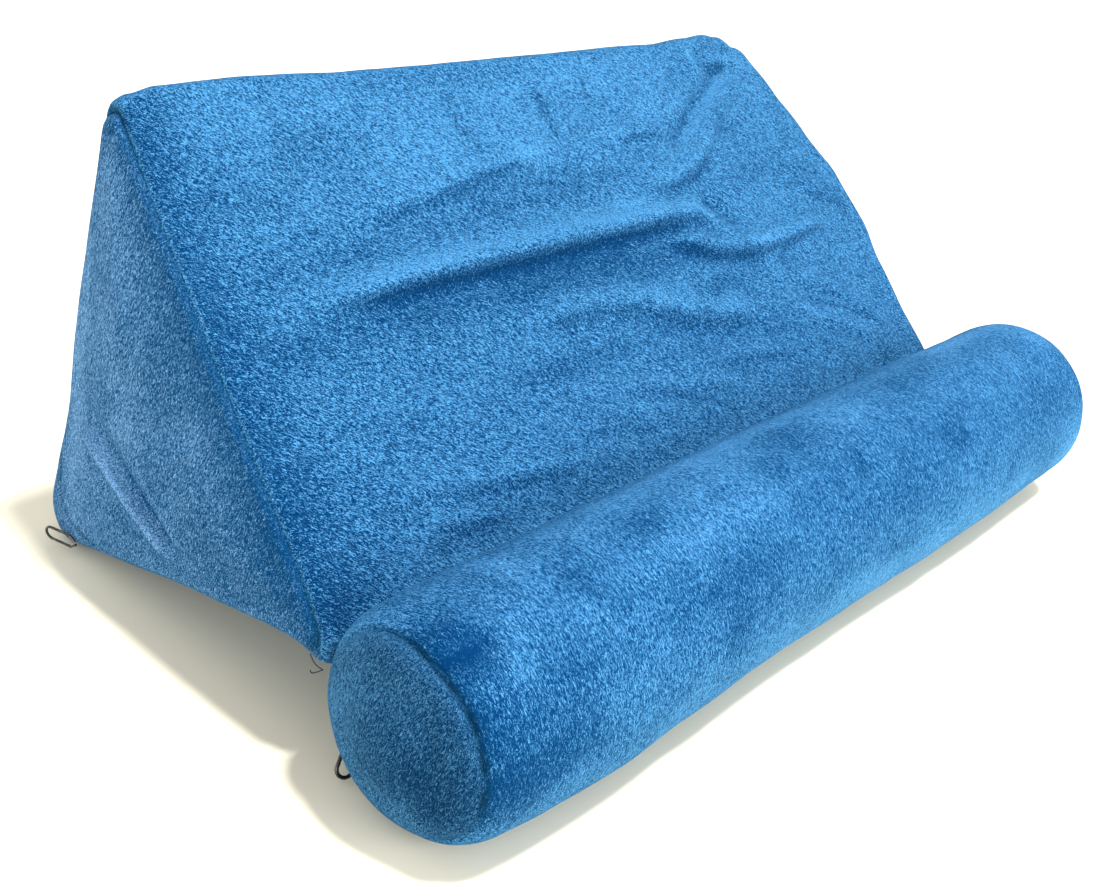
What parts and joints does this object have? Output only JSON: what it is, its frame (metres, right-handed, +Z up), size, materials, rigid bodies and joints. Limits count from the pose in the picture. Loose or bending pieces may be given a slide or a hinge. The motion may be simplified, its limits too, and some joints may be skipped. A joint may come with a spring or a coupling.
{
  "type": "tablet lap cushion",
  "caption": "Stuffed wedge cushion in blue plush with a stuffed roll along its foot, to prop a tablet or a book on a lap or a table.",
  "frame": {"origin": "on the floor, in the middle of the cushion's bounding box", "axes": "+X along the ridge and the roll, to the right as seen from the roll's side; +Y to the back; +Z up"},
  "size_m": [0.4014, 0.2424, 0.171],
  "materials": {
    "plush": "short mottled pile, matt with a soft sheen",
    "pull_wire": "black, half gloss"
  },
  "bodies": {
    "root": {"wedge": "plush", "bolster": "plush", "wedge_pull": "pull_wire", "bolster_pull": "pull_wire"}
  },
  "joints": []
}
